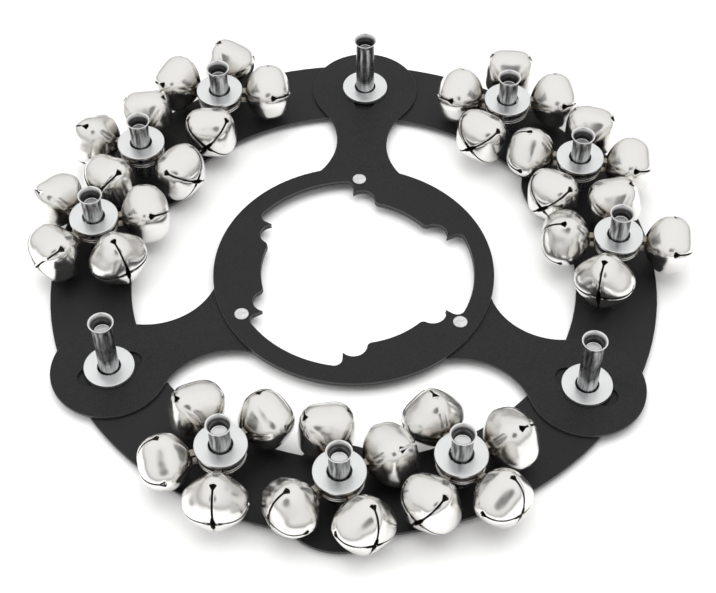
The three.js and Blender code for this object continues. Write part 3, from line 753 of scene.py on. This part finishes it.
# Bells: thin sheet folded into a ball round a loose steel pellet. Four petals meet in front and leave
# a slit between them, with a keyhole at the foot of each slit and a small star open at the pole. The
# back tapers in four soft pleats to a strap ear that hangs on the split ring.
BELL_RADIUS = 9.8 * MM
BELL_FRONT = 8.7 * MM
BELL_BACK = 7.3 * MM
BELL_WALL = 0.6 * MM
EAR_OPENING_RADIUS = 1.95 * MM
EAR_STRAP = 0.45 * MM
EAR_WIDTH = 2.2 * MM
EAR_ROUND = 0.14 * MM
EAR_LEG = 1.3 * MM
EAR_STEPS = 16
BELL_OFFSET = EAR_OPENING_RADIUS + BELL_BACK
KEYHOLE_START = 1.2 * MM
KEYHOLE_LENGTH = 2 * MM
KEYHOLE_HALF_WIDTH = 1.15 * MM
KEYHOLE_WIDEST = 0.3
SLIT_HALF_WIDTH = 0.33 * MM
STAR_POINT_RADIUS = 3 * MM
PETAL_TIP_RADIUS = 1.1 * MM
PETAL_TIP_POWER = 2.4
PETAL_SQUARENESS = 1.5
FRONT_POWER = 2.55
BACK_POWER = 1.65
PLEAT_DEPTH = 0.55 * MM
PLEAT_WIDTH = 0.8 * MM
EDGE_CURL = 0.14 * MM
EDGE_CURL_REACH = 0.6 * MM
PELLET_RADIUS = 2.2 * MM
PELLET_LIFT = 0.4 * MM
BACK_ROWS = 14
KEYHOLE_ROWS = 10
FRONT_ROWS = 14
PETAL_COLUMNS = 20

# How far each bell is rolled about its own axis, in degrees, as its slits show it: four to a cluster.
ROLLS = (
    (70, 35, 60, 50), (70, 40, 50, 55), (55, 50, 50, 5),
    (55, 65, 15, 0), (50, 30, 0, 75), (5, 20, 60, 75),
    (30, 75, 60, 5), (45, 0, 55, 50), (45, 30, 60, 45),
)

foot = math.asin(KEYHOLE_START / BELL_FRONT)
neck = math.asin((KEYHOLE_START + KEYHOLE_LENGTH) / BELL_FRONT)


def smooth_step(low, high, value):
    share = min(max((value - low) / (high - low), 0), 1)
    return share**2 * (3 - 2 * share)


def slit_half_width(latitude):
    """Half the width of the opening between two petals, along the keyhole and the slit."""
    along = (BELL_FRONT * math.sin(latitude) - KEYHOLE_START) / KEYHOLE_LENGTH
    if along <= 0:
        return 0
    if along < KEYHOLE_WIDEST:
        return KEYHOLE_HALF_WIDTH * math.sin(math.pi / 2 * along / KEYHOLE_WIDEST)
    if along < 1:
        narrowing = (along - KEYHOLE_WIDEST) / (1 - KEYHOLE_WIDEST)
        return SLIT_HALF_WIDTH + (KEYHOLE_HALF_WIDTH - SLIT_HALF_WIDTH) * (1 - narrowing)
    return SLIT_HALF_WIDTH


def reach(angle, power):
    """How far a rounded square or diamond reaches at an angle, next to its reach along an axis."""
    return (abs(math.cos(angle)) ** power + abs(math.sin(angle)) ** power) ** (-1 / power)


def bell_point(latitude, across, petal, inset):
    """A point of the shell. Across runs from -1 to 1 over a petal; inset is the depth into the wall."""
    in_front = latitude >= 0
    bulge = reach(latitude, FRONT_POWER if in_front else BACK_POWER)
    depth = ((BELL_FRONT if in_front else BELL_BACK) - inset) * bulge
    radius = (BELL_RADIUS - inset) * bulge * math.cos(latitude)
    gap = math.asin(min(1, slit_half_width(latitude) / max(radius, 0.1 * MM)))
    turn = across * (math.pi / 4 - gap)
    from_seam = (math.pi / 4 - abs(turn)) * radius
    near_back = smooth_step(-1.5, -0.9, latitude)
    near_front = smooth_step(0.9, 1.4, latitude)
    squareness = PETAL_SQUARENESS * near_back * (1 - near_front)
    radius *= reach(turn, 2 + squareness) / reach(math.pi / 4, 2 + squareness)
    pleat = PLEAT_DEPTH * math.exp(-((from_seam / PLEAT_WIDTH) ** 2)) * smooth_step(0.1, 0.8, -latitude)
    radius -= min(pleat, 0.3 * radius)
    if latitude > foot and inset == 0:
        edge = from_seam - slit_half_width(latitude)
        curl = EDGE_CURL * max(0, 1 - edge / EDGE_CURL_REACH) ** 2
        radius -= curl * math.cos(latitude)
        depth -= curl * math.sin(latitude)
    angle = petal * math.pi / 2 + math.pi / 4 + turn
    return (
        BELL_OFFSET + depth * math.sin(latitude),
        radius * math.cos(angle),
        radius * math.sin(angle),
    )


def petal_end(across):
    """The latitude where a petal ends, near the pole."""
    widening = abs(across) ** PETAL_TIP_POWER
    end_radius = PETAL_TIP_RADIUS + (STAR_POINT_RADIUS - PETAL_TIP_RADIUS) * widening
    return math.acos(end_radius / BELL_RADIUS)


def shell_grid(petal, inset):
    """Rows of points over one petal and its share of the back, from the back pole to the tip."""
    grid = []
    for row in range(BACK_ROWS + KEYHOLE_ROWS + FRONT_ROWS + 1):
        line = []
        for column in range(PETAL_COLUMNS + 1):
            across = math.sin(math.pi / 2 * (2 * column / PETAL_COLUMNS - 1))
            if row <= BACK_ROWS:
                latitude = -math.pi / 2 + (foot + math.pi / 2) * row / BACK_ROWS
            elif row <= BACK_ROWS + KEYHOLE_ROWS:
                latitude = foot + (neck - foot) * (row - BACK_ROWS) / KEYHOLE_ROWS
            else:
                share = (row - BACK_ROWS - KEYHOLE_ROWS) / FRONT_ROWS
                latitude = neck + (petal_end(across) - neck) * share
            line.append(bell_point(latitude, across, petal, inset))
        grid.append(line)
    return grid


def bell_shell_mesh():
    """The whole shell: an outer and an inner skin, joined along the slits and round the star."""
    vertices = []
    faces = []
    materials = []

    def add(point):
        vertices.append(point)
        return len(vertices) - 1

    for petal in range(4):
        skins = [
            [[add(point) for point in line] for line in shell_grid(petal, inset)]
            for inset in (0, BELL_WALL)
        ]
        for kind, skin in enumerate(skins):
            for low, high in zip(skin, skin[1:]):
                for i in range(PETAL_COLUMNS):
                    face = (low[i], low[i + 1], high[i + 1], high[i])
                    faces.append(face[::-1] if kind else face)
                    materials.append(kind)
        outer, inner = skins
        left = [(outer[row][0], inner[row][0]) for row in range(BACK_ROWS, len(outer))]
        right = [(outer[row][-1], inner[row][-1]) for row in range(BACK_ROWS, len(outer))]
        rim = list(zip(outer[-1], inner[-1]))
        for edge in (left[::-1], right, rim[::-1]):
            for (a, b), (c, d) in zip(edge, edge[1:]):
                faces.append((a, b, d, c))
                materials.append(0)
    mesh = bpy.data.meshes.new("bell_shell")
    mesh.from_pydata(vertices, [], faces)
    mesh.materials.append(nickel)
    mesh.materials.append(bell_inside)
    for face, kind in zip(mesh.polygons, materials):
        face.material_index = kind
        face.use_smooth = True
    work = bmesh.new()
    work.from_mesh(mesh)
    bmesh.ops.remove_doubles(work, verts=work.verts, dist=0.005 * MM)
    bmesh.ops.dissolve_degenerate(work, edges=work.edges, dist=0.001 * MM)
    bmesh.ops.recalc_face_normals(work, faces=work.faces)
    work.to_mesh(mesh)
    work.free()
    mesh.set_sharp_from_angle(angle=math.radians(50))
    return mesh


def ear_mesh():
    """A strap bent round the split ring, with both legs let into the back of the shell."""
    bend = EAR_OPENING_RADIUS + EAR_STRAP / 2
    leg_end = EAR_OPENING_RADIUS + EAR_LEG
    path = [(leg_end, bend, 0)]
    for step in range(EAR_STEPS + 1):
        angle = math.pi / 2 + math.pi * step / EAR_STEPS
        path.append((bend * math.cos(angle), bend * math.sin(angle), angle - math.pi / 2))
    path.append((leg_end, -bend, math.pi))
    stations = []
    for x, z, turn in path:
        outward = (-math.sin(turn), math.cos(turn))
        stations.append([
            (x + outward[0] * thick, across, z + outward[1] * thick)
            for across, thick in rounded_box(EAR_WIDTH, EAR_STRAP, EAR_ROUND)
        ])
    return swept_mesh("bell_ear", stations)


def ball_mesh(name, radius):
    """A ball, from a turned half circle."""
    steps = 12
    half_circle = [
        (radius * math.sin(math.pi * i / steps), -radius * math.cos(math.pi * i / steps))
        for i in range(1, steps)
    ]
    return turned_mesh(name, [(0, -radius), *half_circle, (0, radius)], 24)


nickel = new_material("nickel_plate", (0.83, 0.82, 0.795), 1, 0.2)
nickel_grain = add_grain(nickel, 1100, 0.06, 140)
ramp_to(nickel, nickel_grain.outputs["Patch"], "Roughness", grey(0.15), grey(0.27))

# The sheet is dented softly all over by the dies. Its colour darkens to brown towards the ear, a
# painted shade round the back of the bell.
nickel_nodes = nickel.node_tree.nodes
nickel_links = nickel.node_tree.links
bell_place = nickel_nodes.new("ShaderNodeTexCoord")
dents = nickel_nodes.new("ShaderNodeTexNoise")
dents.inputs["Scale"].default_value = 160
dents.inputs["Detail"].default_value = 1
dent_bump = nickel_nodes.new("ShaderNodeBump")
dent_bump.inputs["Strength"].default_value = 0.6
dent_bump.inputs["Distance"].default_value = 0.8 * MM
nickel_links.new(bell_place.outputs["Object"], dents.inputs["Vector"])
nickel_links.new(dents.outputs["Fac"], dent_bump.inputs["Height"])
nickel_links.new(nickel_grain.outputs["Normal"], dent_bump.inputs["Normal"])
nickel_links.new(dent_bump.outputs["Normal"], shader_of(nickel).inputs["Normal"])
to_ear = nickel_nodes.new("ShaderNodeVectorMath")
to_ear.operation = "LENGTH"
painted_shade_by_ear_distance = nickel_nodes.new("ShaderNodeMapRange")
painted_shade_by_ear_distance.inputs["From Min"].default_value = EAR_OPENING_RADIUS
painted_shade_by_ear_distance.inputs["From Max"].default_value = BELL_OFFSET + 2 * MM
nickel_links.new(bell_place.outputs["Object"], to_ear.inputs[0])
nickel_links.new(to_ear.outputs["Value"], painted_shade_by_ear_distance.inputs["Value"])
# Brown near the ear, nickel further out: painted shade towards the ear.
ramp_to(
    nickel, painted_shade_by_ear_distance.outputs["Result"], "Base Color",
    (0.26, 0.21, 0.16, 1), (0.83, 0.82, 0.795, 1), 0.1, 0.8,
)
bell_inside = new_material("bell_inside", (0.2, 0.17, 0.13), 0.8, 0.5)
add_grain(bell_inside, 900, 0.2, 200)
ear_metal = new_material("dull_nickel_strap", (0.34, 0.31, 0.27), 1, 0.38)
add_grain(ear_metal, 1500, 0.1, 300)
pellet_steel = new_material("pellet_steel", (0.35, 0.35, 0.35), 1, 0.35)
add_grain(pellet_steel, 900, 0.1, 200)

shell_mesh = bell_shell_mesh()
strap_mesh = ear_mesh()
pellet_mesh = ball_mesh("pellet", PELLET_RADIUS)
pellet_place = Vector((
    BELL_OFFSET + KEYHOLE_START - PELLET_RADIUS,
    0,
    PELLET_LIFT - (BELL_RADIUS - BELL_WALL - PELLET_RADIUS),
))


def add_shell(name, place, turn):
    """A shell turned in its mesh, so that its grain lies differently on each bell."""
    mesh = shell_mesh.copy()
    mesh.transform(turn)
    piece = bpy.data.objects.new(name, mesh)
    piece.location = place
    bpy.context.scene.collection.objects.link(piece)
    return piece


swings = {joint["name"]: joint for joint in frame["joints"]}
for cluster, rolls in enumerate(ROLLS, 1):
    for place, roll in enumerate(rolls, 1):
        bell = f"bell_{cluster}_{place}"
        swing = swings[f"{bell}_swing"]
        heading = math.atan2(swing["axis"][0], -swing["axis"][1])
        turned_to = Matrix.Rotation(heading, 4, "Z")
        at_ear = Matrix.Translation(swing["pos_m"]) @ turned_to
        rolled = turned_to @ Matrix.Rotation(math.radians(roll), 4, "X")
        shell = add_shell(f"{bell}_shell", swing["pos_m"], rolled)
        strap = add_piece(f"{bell}_ear", strap_mesh, ear_metal, sharp_degrees=50)
        strap.matrix_world = at_ear
        pellet = add_piece(f"{bell}_pellet", pellet_mesh, pellet_steel, sharp_degrees=60)
        pellet.matrix_world = at_ear @ Matrix.Translation(pellet_place)
        for piece in (shell, strap, pellet):
            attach(piece, bell)
        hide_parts(bell)
